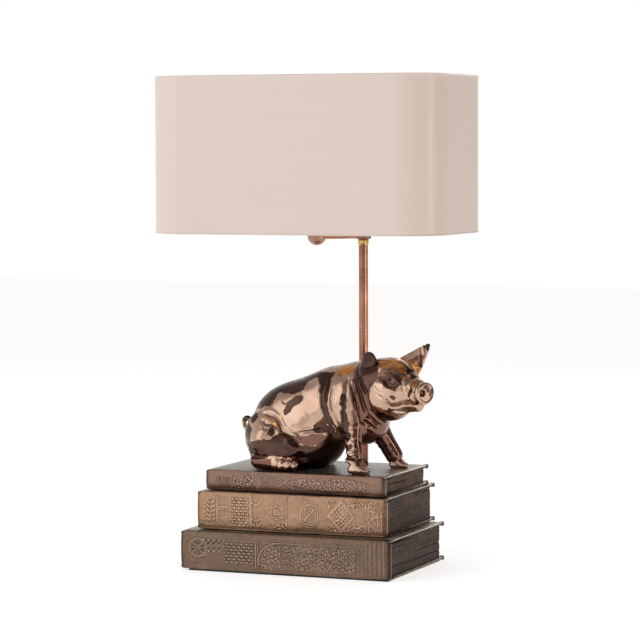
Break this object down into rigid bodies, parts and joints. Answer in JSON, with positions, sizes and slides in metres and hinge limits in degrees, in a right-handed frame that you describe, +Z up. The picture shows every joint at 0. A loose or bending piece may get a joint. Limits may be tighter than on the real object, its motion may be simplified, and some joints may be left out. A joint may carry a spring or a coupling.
{
  "type": "figural animal table lamp",
  "caption": "Table lamp with a seated pig on three stacked books, a side stem and a rounded rectangular shade.",
  "frame": {"origin": "on the table under the axis of the lampholder and shade, at the underside of the felt pad", "axes": "+Z up; the books' spines face -Y; the pig faces +X; the long side of the shade runs along X"},
  "size_m": [0.35, 0.1906, 0.555],
  "materials": {
    "polished_bronze": "polished",
    "aged_bronze": "satin",
    "copper": "satin",
    "brass": "satin",
    "steel": "satin",
    "felt": "matte",
    "black_nylon": "satin",
    "insulator": "satin",
    "frame_wire": "satin",
    "silk": "matte",
    "opal_glass": "satin"
  },
  "bodies": {
    "base": {"pig": "polished_bronze", "book_bottom": "aged_bronze", "book_middle": "aged_bronze", "book_top": "aged_bronze", "stem_tube": "copper", "arm_connector": "copper", "arm_tube": "copper", "ball_elbow": "copper", "stem_collar": "brass", "lampholder_cap": "brass", "lampholder_barrel": "brass", "base_plate": "steel", "base_plate_screw_1": "steel", "base_plate_screw_2": "steel", "base_plate_screw_3": "steel", "base_plate_screw_4": "steel", "book_screw_lower_1": "steel", "book_screw_lower_2": "steel", "book_screw_upper_1": "steel", "book_screw_upper_2": "steel", "pig_screw_1": "steel", "pig_screw_2": "steel", "stem_washer": "steel", "stem_nut": "steel", "nipple": "steel", "felt_pad": "felt", "cable_gland": "black_nylon", "switch_core": "insulator", "contact_insulator": "insulator"},
    "switch_bar": {"push_bar": "black_nylon"},
    "contact_left": {"contact_plunger_1": "brass", "plunger_spring_1": "steel"},
    "contact_right": {"contact_plunger_2": "brass", "plunger_spring_2": "steel"},
    "clamp_ring": {"shade_ring": "brass"},
    "shade": {"shade_carrier": "frame_wire", "shade_top_wire": "frame_wire", "shade_cover": "silk"},
    "bulb": {"bulb_cap": "brass", "bulb_globe": "opal_glass"}
  },
  "joints": [
    {"name": "push_bar_slide", "type": "slide", "parent": "base", "child": "switch_bar", "axis": [1, 0, 0], "range_m": [0, 0.004]},
    {"name": "contact_left_slide", "type": "slide", "parent": "base", "child": "contact_left", "axis": [0, 0, 1], "range_m": [-0.0025, 0], "stiffness_N_per_m": 300, "deforming": ["plunger_spring_1"]},
    {"name": "contact_right_slide", "type": "slide", "parent": "base", "child": "contact_right", "axis": [0, 0, 1], "range_m": [-0.0025, 0], "stiffness_N_per_m": 300, "deforming": ["plunger_spring_2"]},
    {"name": "clamp_ring_turn", "type": "hinge", "parent": "base", "child": "clamp_ring", "pos_m": [0, 0, 0.415], "axis": [0, 0, 1], "continuous": true},
    {"name": "shade_swivel", "type": "hinge", "parent": "base", "child": "shade", "pos_m": [0, 0, 0.412], "axis": [0, 0, 1], "continuous": true},
    {"name": "bulb_twist", "type": "hinge", "parent": "base", "child": "bulb", "pos_m": [0, 0, 0.423], "axis": [0, 0, 1], "range_deg": [0, 20]}
  ]
}
